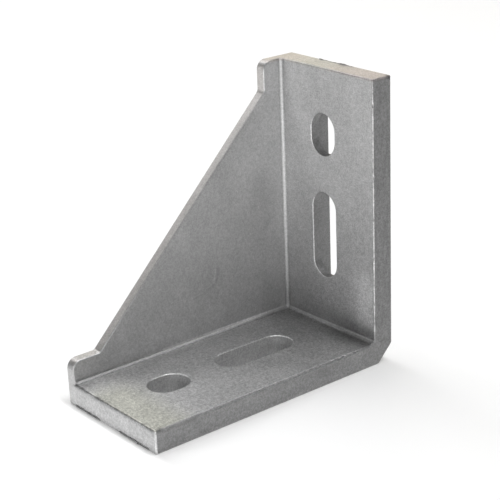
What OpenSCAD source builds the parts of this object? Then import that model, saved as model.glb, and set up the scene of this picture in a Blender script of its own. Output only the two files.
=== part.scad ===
// Die-cast angle corner connector: two equal legs at a right angle, each with
// a short and a long fixing slot that open into a relief in its seating face,
// and one gusset web along the side edge.
// Millimetres. +Z up, the base leg lies on Z = 0 and runs along Y, the upright
// leg stands at the +Y end, and the gusset web is on the -X side.
// The origin is the centre of the base leg's seating face.

/* [Legs] */
// Length of each leg, measured from the virtual outer corner
leg_l = 78; // [74:0.5:100]
// Width of both legs
leg_w = 38; // [34:0.5:60]
// Thickness of both legs
leg_t = 6.3; // [5.5:0.1:8]
// Size of the flat that takes off the outer corner
corner_cut = 4.8; // [3:0.1:6]
// Radius that eases both ends of the corner flat
corner_ease = 2.2; // [1:0.1:3]

/* [Gusset web] */
// Thickness of the web
web_t = 3; // [2.4:0.1:5]
// Height of the web's ears above the seating faces
ear_h = 12.4; // [11:0.1:16]
// Length of the ears along the legs
ear_l = 8.3; // [6:0.1:10]
// Radius of the ears' outer corners
ear_r = 2.6; // [1.5:0.1:4]
// Radius in the notch between each ear and the sloping edge
notch_r = 1.5; // [0.8:0.1:3]

/* [Slots] */
// Width of the slots, a medium clearance for an M8 screw
slot_w = 9; // [8.2:0.1:9.4]
// End-to-end length of the slot near the free end
short_len = 11.5; // [10.5:0.1:14]
// Distance of the short slot's centre from the outer corner
short_pos = 60; // [58:0.5:62]
// End-to-end length of the slot near the corner
long_len = 24; // [18:0.1:26]
// Distance of the long slot's centre from the outer corner
long_pos = 32; // [30:0.5:34]

/* [Relief behind the slots] */
// Depth of the relief in each seating face, in line with the slots
relief_d = 3.8; // [2:0.1:4.2]
// Distance of the relief's near end from the outer corner
relief_from = 12.5; // [10:0.5:15]
// Distance of the relief's far end from the outer corner
relief_to = 71.5; // [70:0.5:72]

/* [Edges] */
// Radius of the inside fillets between the legs and the web
fillet_r = 1.1; // [0.6:0.1:2]
// Radius of the corners of the free ends, seen square to the leg
end_r = 1; // [0.5:0.1:1.5]
// Radius of the inner edge of each free end
lip_r = 0.6; // [0.3:0.1:1]
// Radius of the legs' inner edges on the open side
side_r = 0.4; // [0.2:0.1:0.8]
// Radius along the sloping edge of the web
slope_r = 0.5; // [0.2:0.1:0.8]

/* [Casting trim] */
// Height of the trimmed seam left on the free ends
seam_h = 0.3; // [0.1:0.1:0.5]
// Thickness of the trimmed seam
seam_t = 0.5; // [0.3:0.1:0.8]

/* [Hidden] */
$fn = 64;

hw = leg_w / 2;
// outer corner line of the angle, in Y
yc = leg_l / 2;
// inner face of the web, in X
xi = -hw + web_t;
// tangent length of an arc of radius 1 in a 135 degree corner
k = tan(22.5);
e = 1;
// each seam: start and end along X
base_seams = [[-0.94 * hw, -0.28 * hw], [0.16 * hw, 0.81 * hw]];
top_seam = [-0.41 * hw, 0.36 * hw];
// width of the relief, a little more than the slots'
relief_w = slot_w + 0.2;
// each slot: distance of its centre from the outer corner, and its length
slots = [[short_pos, short_len], [long_pos, long_len]];

// Carries a profile drawn in (distance from the outer corner, height) to its
// place, between two X positions.
module across(x0, x1) {
    translate([x1, yc, 0]) rotate([90, 0, -90]) linear_extrude(x1 - x0) children();
}

// Draws a profile and its mirror image about the angle's 45 degree plane.
module both_legs() {
    children();
    mirror([1, -1]) children();
}

// What comes off the outer corner: the flat, and its eased ends.
module corner_off() {
    polygon([[-e, -e], [corner_cut + e, -e], [-e, corner_cut + e]]);
    both_legs() difference() {
        polygon([[-e, corner_cut + e],
                 [0, corner_cut + k * corner_ease],
                 [k * corner_ease * sqrt(0.5), corner_cut - k * corner_ease * sqrt(0.5)],
                 [-e, corner_cut - k * corner_ease * sqrt(0.5)]]);
        translate([corner_ease, corner_cut + k * corner_ease]) circle(corner_ease);
    }
}

// A square corner to be rounded: the corner point is at (0, 0), with the
// material towards -X and -Y.
module corner_round(r) {
    difference() {
        translate([-r, -r]) square(r + e);
        translate([-r, -r]) circle(r);
    }
}

// Section of the two legs, thickened by the fillet radius on the inside.
module leg_section() {
    th = leg_t + fillet_r;
    difference() {
        union() {
            square([leg_l, th]);
            square([th, leg_l]);
        }
        corner_off();
    }
}

// Outline of the web, ears included.
module web_outline() {
    difference() {
        union() {
            polygon([[0, 0], [leg_l, 0], [leg_l, ear_h], [leg_l - ear_l, ear_h],
                     [ear_h, leg_l - ear_l], [ear_h, leg_l], [0, leg_l]]);
            both_legs() difference() {
                polygon([[leg_l - ear_l, ear_h - 1],
                         [leg_l - ear_l + k * notch_r, ear_h - 1],
                         [leg_l - ear_l + k * notch_r, ear_h],
                         [leg_l - ear_l - k * notch_r * sqrt(0.5), ear_h + k * notch_r * sqrt(0.5)],
                         [leg_l - ear_l - k * notch_r * sqrt(0.5), ear_h - 1]]);
                translate([leg_l - ear_l + k * notch_r, ear_h + notch_r]) circle(notch_r);
            }
        }
        corner_off();
        both_legs() translate([leg_l, ear_h]) corner_round(ear_r);
    }
}

// The space inside the angle, with round edges where the legs and the web meet.
module inner_space() {
    r = fillet_r;
    lx = leg_w + 2 * e;
    ly = leg_l + 2 * e;
    // the corner of the space is at the origin, and it runs to +X, -Y and +Z
    translate([xi, yc - leg_t, leg_t]) mirror([0, 1, 0]) {
        translate([r, r, 0]) cube([lx, ly, ly]);
        translate([r, 0, r]) cube([lx, ly, ly]);
        translate([0, r, r]) cube([lx, ly, ly]);
        translate([r, r, r]) {
            sphere(r);
            cylinder(r = r, h = ly);
            rotate([-90, 0, 0]) cylinder(r = r, h = ly);
            rotate([0, 90, 0]) cylinder(r = r, h = lx);
        }
    }
}

// A slot cut along Y through a plate lying on Z = 0.
module slot_cut(len) {
    c = (len - slot_w) / 2;
    translate([-slot_w / 2, -c, -e]) cube([slot_w, 2 * c, leg_t + 2 * e]);
    for (s = [-c, c]) translate([0, s, -e]) cylinder(d = slot_w, h = leg_t + 2 * e);
}

// The round-ended relief in the seating face of the base leg.
module relief_cut() {
    c = (relief_to - relief_from - relief_w) / 2;
    translate([0, yc - (relief_from + relief_to) / 2, -e]) {
        translate([-relief_w / 2, -c, 0]) cube([relief_w, 2 * c, relief_d + e]);
        for (s = [-c, c]) translate([0, s, 0]) cylinder(d = relief_w, h = relief_d + e);
    }
}

// Rounds an edge of a given length along +Z, with the material towards -X and -Y.
module edge_round(r, l) {
    translate([0, 0, -e]) linear_extrude(l + 2 * e) corner_round(r);
}

// Edges of the base leg and of the web's ear on it.
module base_edges() {
    // corners of the free end
    translate([hw, -yc, 0]) mirror([0, 1, 0]) edge_round(end_r, ear_h);
    translate([-hw, -yc, 0]) mirror([1, 0, 0]) mirror([0, 1, 0]) edge_round(end_r, ear_h);
    // inner edge of the free end, from the web's face to the open side
    translate([xi, -yc, leg_t]) rotate([90, 0, 90]) mirror([1, 0, 0])
        translate([0, 0, e + fillet_r]) edge_round(lip_r, leg_w);
    // inner edge on the open side, stopping short of the upright's inner face
    translate([hw, yc - leg_t - fillet_r - leg_l - e, leg_t]) rotate([90, 0, 0]) mirror([0, 0, 1])
        edge_round(side_r, leg_l);
}

// Edges of the web along its slope, between the two notches.
module slope_edges() {
    run = (leg_l - ear_l - ear_h) * sqrt(2) - 2 * k * notch_r;
    off = (k * notch_r + e) * sqrt(0.5);
    translate([0, yc - ear_h - off, leg_l - ear_l - off]) rotate([135, 0, 0]) {
        translate([xi, 0, 0]) edge_round(slope_r, run - 2 * e);
        translate([-hw, 0, 0]) mirror([1, 0, 0]) edge_round(slope_r, run - 2 * e);
    }
}

// The angle's mirror image about its own 45 degree plane.
module swap_legs() {
    translate([0, yc, 0]) mirror([0, 1, 1]) translate([0, -yc, 0]) children();
}

// One seam along the free end of the base leg.
module seam(x0, x1) {
    translate([x0, -yc - seam_h, 0]) cube([x1 - x0, seam_h + 0.5, seam_t]);
}

module corner_bracket() {
    color([0.6, 0.6, 0.6]) {
        difference() {
            union() {
                across(-hw, hw) leg_section();
                across(-hw, xi + fillet_r) web_outline();
            }
            inner_space();
            for (s = slots) {
                translate([0, yc - s[0], 0]) slot_cut(s[1]);
                swap_legs() translate([0, yc - s[0], 0]) slot_cut(s[1]);
            }
            relief_cut();
            swap_legs() relief_cut();
            base_edges();
            swap_legs() base_edges();
            slope_edges();
        }
        for (s = base_seams) seam(s[0], s[1]);
        swap_legs() seam(top_seam[0], top_seam[1]);
    }
}

corner_bracket();
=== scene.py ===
import math

import bmesh
import bpy
from mathutils import Matrix, Vector, noise


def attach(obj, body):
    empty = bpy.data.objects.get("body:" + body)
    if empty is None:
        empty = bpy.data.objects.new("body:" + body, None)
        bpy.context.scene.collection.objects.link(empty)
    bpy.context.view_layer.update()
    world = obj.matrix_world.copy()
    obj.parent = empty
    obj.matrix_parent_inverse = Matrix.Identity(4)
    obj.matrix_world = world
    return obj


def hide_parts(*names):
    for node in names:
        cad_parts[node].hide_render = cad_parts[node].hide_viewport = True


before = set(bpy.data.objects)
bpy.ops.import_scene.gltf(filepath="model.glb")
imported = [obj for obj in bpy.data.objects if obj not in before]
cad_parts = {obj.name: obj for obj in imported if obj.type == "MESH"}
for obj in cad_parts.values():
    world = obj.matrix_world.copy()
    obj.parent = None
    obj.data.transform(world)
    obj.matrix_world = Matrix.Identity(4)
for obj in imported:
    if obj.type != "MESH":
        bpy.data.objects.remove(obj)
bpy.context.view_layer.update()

scene = bpy.context.scene
scene.view_settings.view_transform = "Standard"
scene.view_settings.look = "None"

# ---------------------------------------------------------------- sizes, mm
# u is the distance from the angle's outer corner along the base leg, v the
# height. A point (x, u, v) goes to the shared frame with place().
LEG_L, HALF_W, T = 78.0, 19.0, 6.3
WEB_X = -16.0
CUT, EASE = 4.8, 2.2
EAR_H, EAR_L, EAR_R, NOTCH_R = 12.4, 8.3, 2.6, 1.5
SLOT_R = 4.5
SLOTS = ((32.0, 24.0), (60.0, 11.5))
# relief in the seating faces behind the slots: centre and length, radius, depth
RELIEF, RELIEF_R, RELIEF_D = (42.0, 59.0), 4.6, 3.8
K = math.tan(math.radians(22.5))


def place(x, u, v):
    return (x / 1000.0, (LEG_L / 2 - u) / 1000.0, v / 1000.0)


def arc(cu, cv, r, a0, a1, n):
    return [
        (cu + r * math.cos(math.radians(a0 + (a1 - a0) * i / n)), cv + r * math.sin(math.radians(a0 + (a1 - a0) * i / n)))
        for i in range(n + 1)
    ]


def steps(a, b, pitch):
    n = max(1, round(abs(b - a) / pitch))
    return [a + (b - a) * i / n for i in range(n + 1)]


def swap(points):
    return [(v, u) for u, v in points]


# ---------------------------------------------------------------- the casting
class Builder:
    """Collects planar faces, with vertices shared by place."""

    def __init__(self):
        self.bm = bmesh.new()
        self.found = {}
        self.where = {}

    def vert(self, p):
        key = tuple(round(c * 1e4) for c in p)
        if key not in self.found:
            v = self.bm.verts.new(place(*p))
            self.found[key] = v
            self.where[v] = p
        return self.found[key]

    def face(self, points):
        ring = []
        for p in points:
            v = self.vert(p)
            if not ring or (v is not ring[-1] and v is not ring[0]):
                ring.append(v)
        return self.bm.faces.new(ring)


def slot_side(centre, length, sign, r=SLOT_R, n=18, pitch=None):
    """One side of a slot, from its end nearer the outer corner to the other: (x, distance)."""
    c = length / 2 - r
    out = [(sign * r * math.sin(math.pi / 2 * i / n), centre - c - r * math.cos(math.pi / 2 * i / n)) for i in range(n + 1)]
    if pitch:
        out += [(sign * r, d) for d in steps(centre - c, centre + c, pitch)[1:-1]]
    out += [(sign * r * math.cos(math.pi / 2 * i / n), centre + c + r * math.sin(math.pi / 2 * i / n)) for i in range(n + 1)]
    return out


def build_casting():
    b = Builder()
    W, X0 = HALF_W, -HALF_W
    # outline of the seating side, from the top of the upright to the end of the base
    outer = [(0.0, LEG_L), (0.0, CUT), (CUT, 0.0), (LEG_L, 0.0)]
    # outline of the web's free edge, from the base's ear to the upright's
    ear = arc(LEG_L - EAR_R, EAR_H - EAR_R, EAR_R, 0, 90, 12)
    notch = arc(LEG_L - EAR_L + K * NOTCH_R, EAR_H + NOTCH_R, NOTCH_R, 270, 225, 6)
    half = ear + notch
    slope = steps(half[-1][0], half[-1][1], 0.8)
    total = half[-1][0] + half[-1][1]
    upper = half + [(u, total - u) for u in slope[1:-1]] + swap(half)[::-1]

    end_xs = [-W] + steps(-W + 0.7, 0.0, 0.3) + steps(0.0, W - 0.7, 0.3)[1:] + [W]
    near = [T] + steps(T + 1.4, LEG_L - 0.8, 0.25) + [LEG_L]
    far = steps(T, LEG_L, 2.0)

    # web: outer face, inner face, free edge
    b.face([(X0, u, v) for u, v in outer + upper])
    b.face([(WEB_X, u, T) for u in far] + [(WEB_X, u, v) for u, v in upper] + [(WEB_X, T, v) for v in far[:0:-1]])
    for p, q in zip(upper, upper[1:]):
        b.face([(X0, *p), (WEB_X, *p), (WEB_X, *q), (X0, *q)])
    # flat of the outer corner
    b.face([(x, 0.0, CUT) for x in (X0, 0.0, W)] + [(x, CUT, 0.0) for x in (W, 0.0, X0)])
    # open side of both legs
    b.face([(W, u, v) for u, v in outer] + [(W, u, T) for u in near[::-1]] + [(W, T, v) for v in near[1:]])
    # the two legs, as one leg and its mirror image
    for flip in (False, True):
        at = (lambda x, d, h: (x, h, d)) if flip else (lambda x, d, h: (x, d, h))
        for sign, edge_in, edge_out in ((-1, WEB_X, X0), (1, W, W)):
            inner = [at(0, LEG_L, T), at(edge_in, LEG_L, T)]
            inner += [at(edge_in, d, T) for d in (near if sign > 0 else far)[::-1]]
            inner += [at(0, T, T)]
            seat = [at(x, LEG_L, 0) for x in (end_xs if sign > 0 else end_xs[::-1]) if sign * x >= 0]
            seat += [at(edge_out, CUT, 0), at(0, CUT, 0)]
            relief = slot_side(*RELIEF, sign, RELIEF_R, pitch=1.0)
            seat += [at(x, d, 0) for x, d in relief]
            for p, q in zip(relief, relief[1:]):
                b.face([at(*p, 0), at(*p, RELIEF_D), at(*q, RELIEF_D), at(*q, 0)])
            ways = []
            for c, length in SLOTS:
                side = slot_side(c, length, sign)
                inner += [at(x, d, T) for x, d in side]
                ways += side
                for p, q in zip(side, side[1:]):
                    b.face([at(*p, RELIEF_D), at(*p, T), at(*q, T), at(*q, RELIEF_D)])
            b.face(inner)
            b.face(seat)
            b.face([at(x, d, RELIEF_D) for x, d in relief + ways[::-1]])
        # free end, with the end of the web's ear
        ear_low = EAR_H - EAR_R
        b.face([at(x, LEG_L, 0) for x in end_xs] + [at(W, LEG_L, T), at(0, LEG_L, T), at(WEB_X, LEG_L, T), at(WEB_X, LEG_L, ear_low), at(X0, LEG_L, ear_low)])

    bm = b.bm
    bmesh.ops.remove_doubles(bm, verts=bm.verts, dist=1e-7)
    bm.normal_update()
    bmesh.ops.recalc_face_normals(bm, faces=bm.faces)
    if sum(f.calc_area() * f.normal.dot(f.calc_center_median()) for f in bm.faces) < 0:
        bmesh.ops.reverse_faces(bm, faces=bm.faces)

    # rounding radius of every sharp edge
    layer = bm.edges.layers.float.new("bevel_weight_edge")
    for e in bm.edges:
        if len(e.link_faces) != 2:
            continue
        if e.calc_face_angle(0.0) < math.radians(20):
            continue
        e[layer] = edge_radius(*[v.co for v in e.verts], e.is_convex) / WIDEST
    mesh = bpy.data.meshes.new("bracket_casting")
    bm.to_mesh(mesh)
    bm.free()
    return mesh


WIDEST = 1.8


def near_radius(u, v):
    """Radius of the legs' inner edges on the open side: the base's grows softer towards its free end."""
    if u < v:
        return 0.30
    f, g, h = (min(1.0, max(0.0, (u - at) / over)) for at, over in ((46.0, 26.0), (75.0, 3.0), (9.0, 9.0)))
    return 0.45 + 0.35 * h * h * (3 - 2 * h) + 0.85 * f * f * (3 - 2 * f) - 0.75 * g * g * (3 - 2 * g)


def edge_radius(a, c, convex):
    m = (a + c) / 2 * 1000
    x, u, v = m.x, LEG_L / 2 - m.y, m.z
    d = a - c
    same = lambda p, q: abs(p - q) < 0.02
    if abs(x) < RELIEF_R + 0.05 and 10 < max(u, v) < LEG_L - 2:
        return 0.0 if same(min(u, v), RELIEF_D) else 0.24
    if not convex:
        return 1.1
    if abs(d.x) > 0.99 * d.length:
        if same(u + v, CUT):
            return K * EASE
        if same(max(u, v), LEG_L):
            return (0.6 if u > v else 0.45) if same(min(u, v), T) else 0.28
        return 0.3
    if same(x, HALF_W):
        if same(max(u, v), LEG_L) and min(u, v) < T:
            return 0.4
        return near_radius(u, v) if same(min(u, v), T) else 0.3
    if same(x, WEB_X) or same(x, -HALF_W):
        return 0.42
    return 0.24


casting_mesh = build_casting()
casting = bpy.data.objects.new("bracket_casting", casting_mesh)
scene.collection.objects.link(casting)
bevel = casting.modifiers.new("edges", "BEVEL")
bevel.limit_method = "WEIGHT"
bevel.width = WIDEST / 1000
bevel.segments = 4
bevel.profile = 0.5
bevel.use_clamp_overlap = False
bevel.miter_outer = "MITER_SHARP"
bpy.context.view_layer.update()
solid = bpy.data.meshes.new_from_object(casting.evaluated_get(bpy.context.evaluated_depsgraph_get()))
casting.modifiers.clear()
casting.data = solid
solid.name = "bracket_casting"
bpy.data.meshes.remove(casting_mesh)
# ---------------------------------------------------------------- trimmed seams and handled edges
def ripple(t, seed, pitch):
    """Smooth noise along an edge, -1 to 1, with features about pitch mm long."""
    return noise.noise(Vector((t / pitch, seed * 7.31, 0.37)))


def ramp(value, lo, hi):
    f = min(1.0, max(0.0, (value - lo) / (hi - lo)))
    return f * f * (3 - 2 * f)


def span_weight(x, spans, seed):
    """1 inside the spans, 0 outside, with uneven ends."""
    best = 0.0
    for x0, x1 in spans:
        e = min(x - x0, x1 - x) + 0.25 * ripple(x, seed + 3, 0.9)
        best = max(best, min(1.0, max(0.0, e / 0.45)))
    return best


BRIM_R = 0.28


def brim(t, x, seed, burr, peaks):
    """Profile of the trimmed seam at x: t runs 0 to 1 from the free end's face to the seating face."""
    p = 0.13 + 0.11 * ripple(x, seed, 1.7) + 0.07 * ripple(x, seed + 1, 0.55)
    top = 0.68 + 0.14 * ripple(x, seed + 2, 1.2)
    for at, width, height in peaks:
        p += height * math.exp(-(((x - at) / width) ** 2))
    p = min(0.285, max(0.03, p))
    hang = math.exp(-(((x - burr) / 0.75) ** 4)) if burr is not None else 0.0
    p = p + hang * (0.285 - p)
    keys = (
        (0.0, 0.0, top),
        (0.25, p, top - 0.10),
        (0.5, p * 0.92, (top - 0.24) * (1 - hang) + 0.08 * hang),
        (0.75, -0.06 + 0.3 * p * (1 - hang) + 0.27 * hang, 0.12 * (1 - hang) + 0.02 * hang),
        (1.0, -0.46 + 0.08 * ripple(x, seed + 5, 0.8), 0.0),
    )
    for (t0, d0, h0), (t1, d1, h1) in zip(keys, keys[1:]):
        if t <= t1 + 1e-6:
            f = (t - t0) / (t1 - t0)
            return LEG_L + d0 + (d1 - d0) * f, h0 + (h1 - h0) * f
    return LEG_L + keys[-1][1], 0.0


BASE_SPANS = ((-18.5, -4.7), (3.2, 16.2))
TOP_SPANS = ((-7.6, 6.6),)
NICKS = ((71.3, 0.45, 0.24), (52.4, 0.55, 0.24), (63.9, 0.4, 0.20), (41.0, 0.5, 0.24), (30.2, 0.4, 0.20), (17.5, 0.45, 0.18))


def handle_edges(mesh):
    for vert in mesh.vertices:
        x, u, v = vert.co.x * 1000, LEG_L / 2 - vert.co.y * 1000, vert.co.z * 1000
        for d, h, spans, seed, burr, peaks, flip in (
            (u, v, BASE_SPANS, 11, 10.8, (), False),
            (v, u, TOP_SPANS, 23, None, ((-6.5, 0.5, 0.2), (1.9, 0.9, 0.2)), True),
        ):
            if d > LEG_L - BRIM_R - 0.01 and h < BRIM_R + 0.01 and abs(x) < 18.3:
                t = math.atan2(BRIM_R - h, d - (LEG_L - BRIM_R)) / (math.pi / 2)
                w = span_weight(x, spans, seed)
                nd, nh = brim(max(0.0, min(1.0, t)), x, seed, burr, peaks)
                d2, h2 = d + (nd - d) * w, h + (nh - h) * w
                u, v = (h2, d2) if flip else (d2, h2)
        # inner edges on the open side: small dents and an uneven line
        for along, across, spots in ((v, u, NICKS), (u, v, ())):
            r = near_radius(u, v)
            if x > HALF_W - r - 0.01 and T - r - 0.01 < across < T + 0.01 and T + 2 < along < LEG_L - 1.6:
                cut = 0.05 + 0.10 * ripple(along, 31, 1.1) + 0.06 * ripple(along, 37, 0.7)
                if across == v:
                    cut *= 1 - ramp(along, 34.0, 52.0)
                for at, width, depth in spots:
                    cut += depth * math.exp(-(((along - at) / width) ** 2))
                cut = max(0.0, cut)
                # only the rounded rows move, the flat faces keep their borders
                rim = min(HALF_W - x, r) / r
                lip = min(T - across, r) / r
                share = max(0.0, 1.0 - abs(rim - lip))
                x -= 0.7 * cut * share
                if across == u:
                    u -= 0.7 * cut * share
                else:
                    v -= 0.7 * cut * share
        vert.co = place(x, u, v)


handle_edges(solid)
solid.update()

# how each face is finished. tone: reflectance against the blasted faces, which on many faces also carries painted
# light and shade set per face; rub: edges handled bright; matt: how far the skin is left as cast, without a metal's
# gleam
tone = solid.attributes.new("tone", "FLOAT", "FACE")
rub = solid.attributes.new("rub", "FLOAT", "FACE")
matt = solid.attributes.new("matt", "FLOAT", "FACE")
# the fourth value flags the rounded inner edge of the base, whose colour the material turns with its normal from the
# top's tone to the side's: painted highlight and shade
edge_light_layer = solid.attributes.new("edge_light_and_wear", "FLOAT", "FACE")


def finish_and_painted_light_of(x, u, v, n, area):
    even = abs(n.x) < 0.01 and abs(abs(n.y) - abs(n.z)) < 0.01
    small = max(abs(n.x), abs(n.y), abs(n.z)) < 0.985 and not even
    long, thick = max(u, v), min(u, v)
    # slots and the relief behind them: painted highlight on the slot rims, brightest on rows facing +x and at the
    # slots' ends towards the corner, and painted light and shade that even out the relief's walls
    if abs(x) < RELIEF_R + 0.3 and 11 < long < 72.5 and thick < T + 0.01:
        if thick > T - 0.25 and small:
            if u > v and n.y < 0.1 and n.x > -0.3:
                end = (1 - ramp(u, 20.5, 24.0)) if u < 46 else 0.4 * (1 - ramp(u, 55.5, 60.5))
                return 1.0 + 0.20 * ramp(n.x, 0.1, 0.4) + 0.75 * end, 0.6, 0.0
            return (1.25, 0.6, 0.0) if n.x > 0.3 else (1.0, 0.2, 0.0)
        if abs(x) < RELIEF_R + 0.02 and 0.25 < thick < T - 0.2:
            if u < v:
                return 0.46, 0.0, 1.0
            if thick > RELIEF_D + 0.1:
                return 0.74, 0.0, 1.0
            # painted shade where light through the slots falls on the relief's walls; the higher tone elsewhere is
            # painted light in the relief's shade
            open_to = max(ramp(u, 55.0, 58.5), ramp(u, 19.5, 25.0) * (1 - ramp(u, 42.0, 45.0)))
            return 1.30 - 0.59 * open_to, 0.0, 1.0
    if not small:
        # painted shade: the open side of both legs is made darker
        if n.x > 0.9 and x > 18.8:
            return 0.60, 0.0, 0.0
        # painted light on the web's outer faces: the base ear's top, the upright ear's end, and the slope, lighter
        # towards the base's end
        if x < WEB_X + 0.01 and n.x > -0.5:
            if n.z > 0.9 and v < 14:
                return 1.22, 0.0, 0.0
            if n.y < -0.9 and u < 14:
                return 1.08, 0.0, 0.0
            if n.z > 0.5 and n.y < -0.5:
                return 1.0 + 0.16 * min(1.0, max(0.0, (u - 20) / 45)), 0.0, 0.0
        return 1.0, 0.0, 0.0
    # inside fillets: tone set row by row from each row's normal and along the fillet, placing painted highlight and
    # painted shade, with painted shade towards the inside corner
    if WEB_X - 0.01 < x < WEB_X + 1.2 and T - 0.02 < thick < T + 1.2:
        if u > v:
            f = 0.76 + 0.20 * ramp(u, 7.0, 18.0) + 0.18 * ramp(u, 12.0, 22.0) * (1 - ramp(u, 24.0, 40.0)) - 0.25 * ramp(u, 46.0, 64.0)
            if n.z < 0.7:
                return f * (1.32 if n.z < 0.4 else 1.0), 0.0, 0.0
            c, far_end = ramp(u, 9.0, 24.0), ramp(u, 40.0, 60.0)
            if n.z < 0.9:
                return 0.86 + (0.64 * f + 0.05 * far_end - 0.86) * c, 0.0, 0.0
            return 0.93 + (0.58 * f + 0.18 * far_end - 0.93) * c, 0.0, 0.0
        return 0.74 + 0.18 * ramp(v, 9.0, 16.0) - 0.10 * ramp(v, 58.0, 74.0), 0.0, 0.0
    if T - 0.02 < u < T + 1.2 and T - 0.02 < v < T + 1.2:
        return (0.78 if n.z < 0.4 else 0.93 if n.z < 0.7 else 1.24 if n.z < 0.9 else 1.14), 0.0, 0.0
    # web's free edge and outline, with painted highlight and shade by row: the ear's rounded corner lighter on its
    # side-facing rows than on its top-facing ones
    if x < WEB_X + 0.01:
        if abs(n.x) < 0.1:
            if v > LEG_L - EAR_R - 0.1:
                return 0.84 + 0.42 * (1 - ramp(n.z, 0.25, 0.65)), 0.0, 0.0
            return (0.84 if u > v else 1.0), 0.0, 0.0
        return (0.86 if long > LEG_L - 2.7 else 0.93), 0.1, 0.0
    # free ends: a painted highlight on the base end's near vertical edge and painted shade on the upright top's back
    # corner edge; painted shade on the inner lips; then the trimmed seams, whose real fins are darkened with painted
    # shade
    if long > LEG_L - 0.55 and x > 18.3 and thick < T - 0.3:
        if v > u and u < 1.3:
            return 0.45, 0.0, 0.0
        return (1.28, 0.8, 0.0) if u > v else (1.0, 0.2, 0.0)
    if u > LEG_L - 0.65 and T - 0.65 < v < T + 0.02:
        return 0.53 + 0.11 * (1 - ramp(-n.y, 0.1, 0.5)) + 0.20 * ramp(-n.y, 0.75, 0.98), 0.0, 0.0
    if v > LEG_L - 0.5 and T - 0.5 < u < T + 0.02:
        return 0.88, 0.0, 0.0
    if u > LEG_L - 0.6 and v < 0.8:
        w = span_weight(x, BASE_SPANS, 11)
        return 1.0 - 0.86 * w, 0.3 * (1 - w), 0.0
    if v > LEG_L - 0.6 and u < 0.8:
        return 1.0 - 0.34 * span_weight(x, TOP_SPANS, 23), 0.0, 0.0
    # inner edges on the open side. The base's: raised tone with a light line, painted highlight, random touches of
    # wear, and shading by its normal in the material. The upright's: random wear and bright spots just above the first
    # two nicks, with tone along its height that gives painted shade at its foot by the base and a painted highlight
    # weakening upwards
    if x > 17.2 and T - 1.8 < thick < T + 0.02:
        if u > v:
            touch = max(0.0, min(1.0, (40.0 - u) / 8.0)) * max(0.0, 0.35 + ripple(u, 53, 4.0))
            line = (1 - ramp(u, 44.0, 56.0)) * (0.13 + 0.13 * ramp(u, 34.0, 42.0) if n.x < 0.45 else 0.0)
            return 1.25 * (1.0 + 0.12 * touch + line), 0.4 * touch, 0.0, 1.0
        edge_light_and_wear = 1.0 + 0.30 * ripple(v, 61, 0.9) + 0.30 * max(0.0, ripple(v, 67, 2.6))
        for at, width, depth in NICKS[:2]:
            edge_light_and_wear += 0.9 * math.exp(-(((v - at - 0.45) / 0.4) ** 2))
        edge_light_and_wear *= 0.66 + 0.34 * ramp(v, 7.2, 10.0) - 0.18 * ramp(v, 47.0, 58.0) - 0.10 * ramp(v, 66.0, 74.0)
        return edge_light_and_wear * (1.12 - 0.18 * min(1.0, max(0.0, (v - 30) / 25))), max(0.0, 0.25 + 0.5 * ripple(v, 57, 2.2)), 0.0
    return 1.0, 0.5, 0.0


for p in solid.polygons:
    p.use_smooth = True
    c = p.center * 1000
    values = finish_and_painted_light_of(c.x, LEG_L / 2 - c.y, c.z, p.normal, p.area)
    for layer, value in zip((tone, rub, matt, edge_light_layer), values):
        layer.data[p.index].value = value
solid.set_sharp_from_angle(angle=math.radians(38))
soft = casting.modifiers.new("normals", "WEIGHTED_NORMAL")
soft.mode = "FACE_AREA"
soft.weight = 50
soft.keep_sharp = True


# ---------------------------------------------------------------- material
class Nodes:
    def __init__(self, name):
        self.mat = bpy.data.materials.new(name)
        self.mat.use_nodes = True
        self.tree = self.mat.node_tree
        self.bsdf = self.tree.nodes["Principled BSDF"]

    def add(self, kind, **props):
        n = self.tree.nodes.new(kind)
        for k, v in props.items():
            setattr(n, k, v)
        return n

    def link(self, a, b):
        self.tree.links.new(a, b)

    def put(self, socket, value):
        if isinstance(value, bpy.types.NodeSocket):
            self.link(value, socket)
        else:
            socket.default_value = value

    def math(self, op, a, b=None, c=None, clamp=False):
        n = self.add("ShaderNodeMath", operation=op, use_clamp=clamp)
        for s, v in zip(n.inputs, (a, b, c)):
            if v is not None:
                self.put(s, v)
        return n.outputs[0]

    def noise(self, vec, scale, detail=2.0, rough=0.5):
        n = self.add("ShaderNodeTexNoise")
        self.link(vec, n.inputs["Vector"])
        n.inputs["Scale"].default_value = scale
        n.inputs["Detail"].default_value = detail
        n.inputs["Roughness"].default_value = rough
        return n.outputs["Fac"]

    def spread(self, value, lo, hi, out_lo, out_hi):
        n = self.add("ShaderNodeMapRange")
        n.interpolation_type = "SMOOTHSTEP"
        for s, v in zip(n.inputs, (value, lo, hi, out_lo, out_hi)):
            self.put(s, v)
        return n.outputs[0]

    def attribute(self, name):
        return self.add("ShaderNodeAttribute", attribute_name=name).outputs["Fac"]


m = Nodes("cast_aluminium")
coords = m.add("ShaderNodeTexCoord")
where = coords.outputs["Object"]
grain = m.noise(where, 2600.0, 2.0, 0.6)
pits = m.noise(where, 1150.0, 3.0, 0.55)
cloud = m.noise(where, 140.0, 3.0, 0.55)
wide = m.noise(where, 38.0, 2.0, 0.5)
glint_specks = m.noise(where, 1900.0, 1.0, 0.5)
tone_in = m.attribute("tone")
rub_in = m.attribute("rub")
matt_in = m.attribute("matt")
edge_light_in = m.attribute("edge_light_and_wear")

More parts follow.
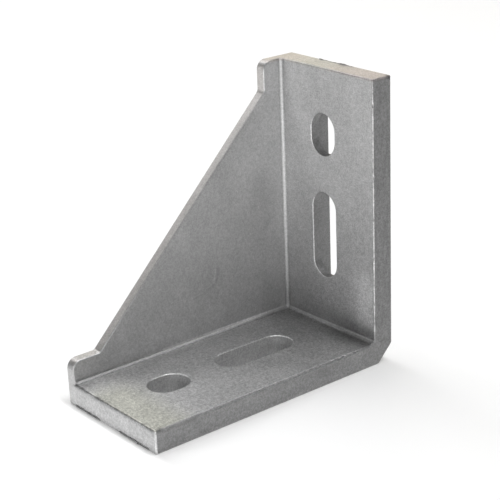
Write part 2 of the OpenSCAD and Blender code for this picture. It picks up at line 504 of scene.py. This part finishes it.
# reflectance: fine light and dark grains, sparse bright specks that are painted glints, soft clouds
axes = m.add("ShaderNodeSeparateXYZ")
m.link(where, axes.inputs[0])
ax, ay, az = axes.outputs
level = m.spread(grain, 0.30, 0.70, -0.17, 0.17)
level = m.math("ADD", level, m.spread(pits, 0.30, 0.70, -0.11, 0.11))
level = m.math("ADD", level, m.spread(glint_specks, 0.66, 0.76, 0.0, 0.22))
beyond_web = m.spread(ax, -0.0168, -0.0162, 0.0, 1.0)
on_base = m.math("MULTIPLY", m.spread(az, 0.0058, 0.0062, 0.0, 1.0), m.spread(az, 0.0064, 0.0068, 1.0, 0.0))
on_base = m.math("MULTIPLY", on_base, beyond_web)
coarse = m.math("MULTIPLY", m.spread(ax, -0.0158, -0.0150, 0.68, 0.95), m.math("MULTIPLY_ADD", on_base, 0.24, 1.0))
level = m.math("MULTIPLY_ADD", level, coarse, 1.0)
level = m.math("MULTIPLY", level, m.spread(cloud, 0.30, 0.70, 0.96, 1.04))
level = m.math("MULTIPLY", level, m.spread(wide, 0.30, 0.70, 0.98, 1.02))
# draw marks along the open side of each leg
upright = m.spread(m.math("ADD", ay, az), 0.032, 0.046, 0.0, 1.0)


def drawn(sy, sz):
    stretch = m.add("ShaderNodeCombineXYZ")
    m.link(m.math("MULTIPLY", ay, sy), stretch.inputs[1])
    m.link(m.math("MULTIPLY", az, sz), stretch.inputs[2])
    return m.noise(stretch.outputs[0], 1.0, 3.0, 0.6)


along = m.add("ShaderNodeMix", data_type="FLOAT")
m.link(upright, along.inputs[0])
m.link(drawn(170.0, 950.0), along.inputs[2])
m.link(drawn(950.0, 170.0), along.inputs[3])
open_side = m.spread(ax, 0.0184, 0.0188, 0.0, 1.0)
draw_marks_and_shade = m.math("MULTIPLY", m.math("SUBTRACT", along.outputs[0], 0.5), 0.42)
# painted shade on the upright's open side, darkest below 45 mm
draw_marks_and_shade = m.math("MULTIPLY_ADD", upright, m.spread(az, 0.045, 0.076, -0.18, -0.09), draw_marks_and_shade)
level = m.math("MULTIPLY", level, m.math("MULTIPLY_ADD", draw_marks_and_shade, open_side, 1.0))
# painted shade in the crease between the legs, on its open end
depth = m.math("MAXIMUM", m.math("SUBTRACT", 0.0327, ay), m.math("SUBTRACT", az, 0.0063))
crease_shade = m.math("MULTIPLY", m.spread(depth, 0.0008, 0.0072, 0.40, 0.0), m.spread(ax, -0.004, 0.013, 0.0, 1.0))
crease_shade = m.math("MULTIPLY", crease_shade, m.spread(ax, 0.0186, 0.0190, 1.0, 0.0))
inside = m.math("MULTIPLY", m.spread(ay, 0.0329, 0.0334, 1.0, 0.0), m.spread(az, 0.0056, 0.0061, 0.0, 1.0))
crease_shade = m.math("MULTIPLY", crease_shade, inside)
level = m.math("MULTIPLY", level, m.math("SUBTRACT", 1.0, crease_shade))
# painted light: a lighter band on the upright's inner face above the crease, towards the open side
crease_light_band = m.math("MULTIPLY", m.spread(depth, 0.0022, 0.0056, 0.0, 0.44), m.spread(depth, 0.010, 0.026, 1.0, 0.0))
crease_light_band = m.math("MULTIPLY", crease_light_band, m.spread(ax, 0.008, 0.016, 0.0, 1.0))
crease_light_band = m.math("MULTIPLY", crease_light_band, m.spread(ay, 0.0320, 0.0326, 0.0, 1.0))
crease_light_band = m.math("MULTIPLY", crease_light_band, m.spread(ax, 0.0183, 0.0187, 1.0, 0.0))
crease_light_band = m.math("MULTIPLY", crease_light_band, inside)
level = m.math("MULTIPLY", level, m.math("ADD", crease_light_band, 1.0))
# painted shade on the web's inner face along its slope, and painted light along its lower part
on_web = m.math("MULTIPLY", m.spread(ax, -0.0159, -0.0155, 1.0, 0.0), m.spread(ax, -0.0165, -0.0161, 0.0, 1.0))
web_light_and_shade = m.math("MULTIPLY", m.spread(ay, 0.009, 0.021, 1.0, 0.0), m.spread(az, 0.014, 0.027, 0.0, -0.13))
web_light_and_shade = m.math("ADD", web_light_and_shade, m.spread(az, 0.009, 0.019, 0.09, 0.0))
level = m.math("MULTIPLY", level, m.math("MULTIPLY_ADD", web_light_and_shade, on_web, 1.0))
# a faint flow mark on the web: a light line with a dark one beside it
FLOW = ((31.3, 24.4), (32.0, 21.2), (36.3, 19.2), (39.5, 18.8))


def off_path(points, shift):
    """Distance from a bent line on the web, in metres."""
    best = None
    for (u0, v0), (u1, v1) in zip(points, points[1:]):
        y0, z0 = (39.0 - u0 + shift) / 1000, v0 / 1000
        dy, dz = (u0 - u1) / 1000, (v1 - v0) / 1000
        py, pz = m.math("SUBTRACT", ay, y0), m.math("SUBTRACT", az, z0)
        t = m.math("MULTIPLY_ADD", pz, dz, m.math("MULTIPLY", py, dy))
        t = m.math("MULTIPLY", t, 1.0 / (dy * dy + dz * dz), clamp=True)
        ey, ez = m.math("MULTIPLY_ADD", t, -dy, py), m.math("MULTIPLY_ADD", t, -dz, pz)
        d2 = m.math("MULTIPLY_ADD", ey, ey, m.math("MULTIPLY", ez, ez))
        best = d2 if best is None else m.math("MINIMUM", best, d2)
    return m.math("SQRT", best)


flow = m.math("ADD", m.spread(off_path(FLOW, 0.0), 0.0001, 0.0005, 0.17, 0.0), m.spread(off_path(FLOW, 0.65), 0.0002, 0.0010, -0.11, 0.0))
flow = m.math("MULTIPLY", flow, m.spread(cloud, 0.35, 0.6, 0.75, 1.25))
level = m.math("MULTIPLY", level, m.math("MULTIPLY_ADD", flow, on_web, 1.0))
# painted highlight and shade on the base's inner edge: its colour follows its normal through the curve, with a dark
# dip where it turns from the top to the side
turn = m.add("ShaderNodeSeparateXYZ")
m.link(coords.outputs["Normal"], turn.inputs[0])
fade = m.add("ShaderNodeFloatCurve")
curve = fade.mapping.curves[0]
curve.points[0].location, curve.points[1].location = (0.0, 0.80), (1.0, 0.50)
for at, value in ((0.15, 0.63), (0.33, 0.53), (0.48, 0.45), (0.60, 0.36), (0.68, 0.37), (0.79, 0.60), (0.88, 0.82), (0.94, 0.79), (0.98, 0.56)):
    curve.points.new(at, value)
fade.mapping.update()
m.link(turn.outputs[0], fade.inputs["Value"])
level = m.math("MULTIPLY", level, m.math("MULTIPLY_ADD", m.math("SUBTRACT", fade.outputs[0], 1.0), edge_light_in, 1.0))
on_end = m.spread(ay, -0.0388, -0.0385, 1.0, 0.0)
# painted light and shade on the base's end face: lighter at its foot, darker towards its top and the open side
level = m.math("MULTIPLY", level, m.math("MULTIPLY_ADD", m.math("ADD", m.spread(az, 0.0005, 0.0055, 0.09, -0.08), m.spread(ax, 0.003, 0.016, 0.0, -0.07)), on_end, 1.0))
# painted light on the base's top towards its free end
level = m.math("MULTIPLY", level, m.math("MULTIPLY_ADD", m.spread(ay, -0.0385, -0.024, 0.11, 0.0), on_base, 1.0))
# painted shade on the base's top near the open side, some 45 to 65 mm from the corner
beside = m.math("MULTIPLY", m.spread(ax, 0.009, 0.016, 0.0, -0.11), m.math("MULTIPLY", m.spread(ay, -0.027, -0.021, 0.0, 1.0), m.spread(ay, -0.009, -0.004, 1.0, 0.0)))
level = m.math("MULTIPLY", level, m.math("MULTIPLY_ADD", beside, on_base, 1.0))
on_upright = m.math("MULTIPLY", m.spread(ay, 0.0317, 0.0325, 0.0, 1.0), m.spread(ay, 0.0328, 0.0332, 1.0, 0.0))
on_upright = m.math("MULTIPLY", on_upright, beyond_web)
# painted shade at the top of the upright's inner face
level = m.math("MULTIPLY", level, m.math("MULTIPLY_ADD", m.spread(az, 0.060, 0.076, 0.0, -0.08), on_upright, 1.0))
# painted light on the upright's inner face beside the web, at mid height
by_web = m.math("MULTIPLY", m.spread(ax, -0.014, -0.002, 0.08, 0.0), m.math("MULTIPLY", m.spread(az, 0.012, 0.024, 0.0, 1.0), m.spread(az, 0.048, 0.060, 1.0, 0.0)))
level = m.math("MULTIPLY", level, m.math("MULTIPLY_ADD", by_web, on_upright, 1.0))
# painted shade at the foot of the upright's inner face, away from the open side
foot = m.math("MULTIPLY", m.spread(az, 0.0085, 0.018, -0.11, 0.0), m.spread(ax, 0.010, 0.016, 1.0, 0.0))
level = m.math("MULTIPLY", level, m.math("MULTIPLY_ADD", foot, on_upright, 1.0))
# painted shade on the base's top at the inside corner and along the middle beside the web
heel_shade = m.math("MULTIPLY", m.spread(ax, -0.0145, -0.0085, -0.11, 0.0), m.math("MULTIPLY", m.spread(ay, -0.022, -0.014, 0.0, 1.0), m.spread(ay, 0.008, 0.016, 1.0, 0.0)))
heel_shade = m.math("ADD", heel_shade, m.spread(ay, 0.020, 0.030, 0.0, -0.09))
level = m.math("MULTIPLY", level, m.math("MULTIPLY_ADD", heel_shade, on_base, 1.0))
# the web's lower part: painted light in the middle, painted shade at the inside corner
low = m.math("MULTIPLY", m.spread(ay, -0.020, -0.010, 0.0, 0.08), m.spread(ay, 0.008, 0.018, 1.0, 0.0))
low = m.math("MULTIPLY", m.math("ADD", low, m.spread(ay, 0.020, 0.030, 0.0, -0.09)), m.spread(az, 0.012, 0.021, 1.0, 0.0))
level = m.math("MULTIPLY", level, m.math("MULTIPLY_ADD", low, on_web, 1.0))
# the open side of the base: painted light, a little lighter at its lower edge, towards the corner
low_side = m.math("MULTIPLY", m.spread(az, 0.0008, 0.0048, 0.09, 0.0), m.spread(ay, -0.010, 0.008, 0.0, 1.0))
low_side = m.math("MULTIPLY", low_side, m.math("SUBTRACT", 1.0, upright))
level = m.math("MULTIPLY", level, m.math("MULTIPLY_ADD", low_side, open_side, 1.0))
# painted shade: a dark patch at the back corner of the upright's top
corner_shade = m.add("ShaderNodeVectorMath", operation="DISTANCE")
m.link(where, corner_shade.inputs[0])
corner_shade.inputs[1].default_value = (0.0186, 0.0386, 0.0779)
level = m.math("MULTIPLY", level, m.spread(corner_shade.outputs["Value"], 0.0006, 0.0013, 0.50, 1.0))
# painted shade on the base's end face just below its lip
below_lip = m.math("MULTIPLY", m.spread(az, 0.0049, 0.0056, 0.0, -0.20), m.spread(az, 0.0057, 0.0060, 1.0, 0.0))
below_lip = m.math("MULTIPLY", below_lip, beyond_web)
level = m.math("MULTIPLY", level, m.math("MULTIPLY_ADD", below_lip, on_end, 1.0))
# random unevenness in the tone along the base end's lip
on_lip = m.math("MULTIPLY", m.spread(ay, -0.0385, -0.0383, 1.0, 0.0), m.spread(az, 0.0056, 0.0059, 0.0, 1.0))
on_lip = m.math("MULTIPLY", on_lip, m.math("MULTIPLY", m.spread(az, 0.0063, 0.0065, 1.0, 0.0), beyond_web))
uneven = m.spread(m.noise(where, 430.0, 2.0, 0.55), 0.34, 0.66, -0.24, 0.40)
level = m.math("MULTIPLY", level, m.math("MULTIPLY_ADD", uneven, on_lip, 1.0))
level = m.math("MULTIPLY", level, tone_in)
level = m.math("MULTIPLY_ADD", rub_in, 0.06, level)
mix = m.add("ShaderNodeCombineColor")
# painted warm light: a faint straw tint on the base's free end and, turning to pink, on the upright's top, which is
# also a little lighter at its web side
straw_top = m.spread(az, 0.0772, 0.0778, 0.0, 1.0)
straw_end = m.math("MULTIPLY", m.spread(ay, -0.034, -0.024, 1.0, 0.0), m.spread(ay, -0.0390, -0.0387, 0.0, 1.0))
straw_end = m.math("MULTIPLY", straw_end, on_base)
straw_end = m.math("MULTIPLY", straw_end, m.spread(ax, -0.014, -0.002, 0.0, 1.0))
pink = m.math("ADD", m.spread(ax, -0.004, 0.012, 0.014, 0.080), m.spread(ax, -0.016, -0.006, 0.048, 0.0))
pink = m.math("MULTIPLY", straw_top, pink)
# and on the web's free edge, also painted warm light
on_edge = m.math("MULTIPLY", m.spread(ax, -0.0164, -0.0161, 1.0, 0.0), m.spread(ax, -0.0189, -0.0187, 0.0, 1.0))
on_edge = m.math("MULTIPLY", on_edge, m.math("MULTIPLY", m.spread(ay, -0.0388, -0.0380, 0.0, 1.0), m.spread(az, 0.0768, 0.0776, 1.0, 0.0)))
pink = m.math("MULTIPLY_ADD", on_edge, 0.028, pink)
level = m.math("MULTIPLY", level, m.math("MULTIPLY_ADD", m.spread(ax, -0.004, 0.006, 0.06, 0.0), straw_top, 1.0))
m.link(m.math("MULTIPLY", level, m.math("MULTIPLY_ADD", pink, 0.480, 0.480)), mix.inputs[0])
m.link(m.math("MULTIPLY", level, 0.480), mix.inputs[1])
blue = m.math("MULTIPLY", straw_top, m.spread(ax, -0.004, 0.012, 0.055, 0.020))
blue = m.math("MULTIPLY_ADD", on_edge, 0.025, blue)
blue = m.math("SUBTRACT", 1.0, m.math("MULTIPLY_ADD", straw_end, 0.09, blue))
m.link(m.math("MULTIPLY", level, m.math("MULTIPLY", blue, 0.481)), mix.inputs[2])
m.link(mix.outputs[0], m.bsdf.inputs["Base Color"])
m.link(m.math("MULTIPLY_ADD", matt_in, -0.75, 1.0), m.bsdf.inputs["Metallic"])
rough = m.spread(pits, 0.30, 0.70, 0.46, 0.54)
rough = m.math("MULTIPLY_ADD", rub_in, -0.08, rough)
m.link(rough, m.bsdf.inputs["Roughness"])

# blasted skin
relief = m.math("MULTIPLY_ADD", grain, 0.5, m.math("MULTIPLY", pits, 0.8))
relief = m.math("MULTIPLY_ADD", cloud, 1.2, relief)
bump = m.add("ShaderNodeBump")
bump.inputs["Strength"].default_value = 0.5
bump.inputs["Distance"].default_value = 0.00006
m.link(relief, bump.inputs["Height"])
m.link(bump.outputs[0], m.bsdf.inputs["Normal"])
mat = m.mat
solid.materials.clear()
solid.materials.append(mat)

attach(casting, "root")
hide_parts("corner_bracket")

# ---------------------------------------------------------------- floor, light, camera
floor_mesh = bpy.data.meshes.new("floor")
floor_mesh.from_pydata([(-6, -6, 0), (6, -6, 0), (6, 6, 0), (-6, 6, 0)], [], [(0, 1, 2, 3)])
floor = bpy.data.objects.new("floor", floor_mesh)
scene.collection.objects.link(floor)
f = Nodes("pale_floor")
f.bsdf.inputs["Base Color"].default_value = (0.84, 0.84, 0.84, 1)
f.bsdf.inputs["Roughness"].default_value = 0.9
f.bsdf.inputs["Specular IOR Level"].default_value = 0.0
f.bsdf.inputs["Emission Color"].default_value = (1, 1, 1, 1)
# painted light: the floor glows in front of the part, most in a broad patch to its front right and a little in a strip
# right ahead of the base's end, as a lit table top would, lighting the part from below
spot = f.add("ShaderNodeSeparateXYZ")
f.link(f.add("ShaderNodeTexCoord").outputs["Object"], spot.inputs[0])
front = f.math("MULTIPLY", f.spread(spot.outputs[0], 0.05, 0.08, 0.0, 1.0), f.spread(spot.outputs[0], 0.46, 0.54, 1.0, 0.0))
front = f.math("MULTIPLY", front, f.spread(spot.outputs[1], -0.08, -0.05, 1.0, 0.0))
front = f.math("MULTIPLY", front, f.spread(spot.outputs[1], -0.54, -0.46, 0.0, 1.0))
ahead_of = f.math("MULTIPLY", f.spread(spot.outputs[1], -0.042, -0.039, 1.0, 0.0), f.spread(spot.outputs[0], 0.04, 0.06, 1.0, 0.0))
ahead_of = f.math("MULTIPLY", ahead_of, f.spread(spot.outputs[0], -0.06, -0.04, 0.0, 1.0))
ahead_of = f.math("MULTIPLY", ahead_of, f.spread(spot.outputs[1], -0.54, -0.46, 0.0, 1.0))
glow = f.math("MULTIPLY_ADD", front, 2.93, f.math("MULTIPLY_ADD", ahead_of, 0.34, 0.14))
f.link(glow, f.bsdf.inputs["Emission Strength"])
floor_mesh.materials.append(f.mat)

world = bpy.data.worlds.new("studio")
scene.world = world
world.use_nodes = True
world.node_tree.nodes["Background"].inputs["Color"].default_value = (1, 1, 1, 1)
world.node_tree.nodes["Background"].inputs["Strength"].default_value = 0.0

NEUTRAL, WARM = (1.0, 1.0, 1.0), (1.0, 0.93, 0.77)


def softbox(name, azimuth, elevation, watts, colour=NEUTRAL, size=0.45, far=1.2):
    """A square soft light that faces the part; azimuth counts from +X towards +Y."""
    az, el = math.radians(azimuth), math.radians(elevation)
    light = bpy.data.lights.new(name, "AREA")
    light.shape = "SQUARE"
    light.size = size
    light.energy = watts
    light.color = colour
    o = bpy.data.objects.new(name, light)
    o.location = (far * math.cos(el) * math.cos(az), far * math.cos(el) * math.sin(az), 0.03 + far * math.sin(el))
    o.rotation_mode = "QUATERNION"
    o.rotation_quaternion = (Vector((0, 0, 0.03)) - o.location).to_track_quat("-Z", "Y")
    scene.collection.objects.link(o)


softbox("top_right", 45, 70, 5.98)
softbox("top_left", 135, 70, 1.96)
softbox("top_left_near", 180, 70, 1.14)
softbox("top_front", 270, 70, 0.70)
softbox("left_high", 180, 50, 2.50)
softbox("left_high_back", 152, 50, 0.84)
softbox("left_mid", 180, 30, 2.02)
softbox("right_high", 0, 50, 1.90)
softbox("right_high_back", 45, 50, 0.48)
softbox("low_front_left", 246, 12, 3.06)
softbox("low_front_right", 315, 12, 3.80)
softbox("low_back_left", 135, 12, 1.55, WARM)

cam_data = bpy.data.cameras.new("camera")
cam_data.sensor_width = 36.0
cam_data.lens = 104.876
cam_data.clip_start, cam_data.clip_end = 0.01, 50
cam = bpy.data.objects.new("camera", cam_data)
right = Vector((0.632906883982661, 0.7733067530469562, -0.03775634912610426))
down = Vector((0.2520744538737303, -0.25192709498592114, -0.9343399855064618))
ahead = Vector((-0.7320432677865557, 0.5818327977210709, -0.35437727012952225))
basis = Matrix((right, -down, -ahead)).transposed().to_4x4()
cam.matrix_world = Matrix.Translation((0.27420346, -0.24998085 + 0.039, 0.1674755)) @ basis
scene.collection.objects.link(cam)
scene.camera = cam

bpy.context.view_layer.update()
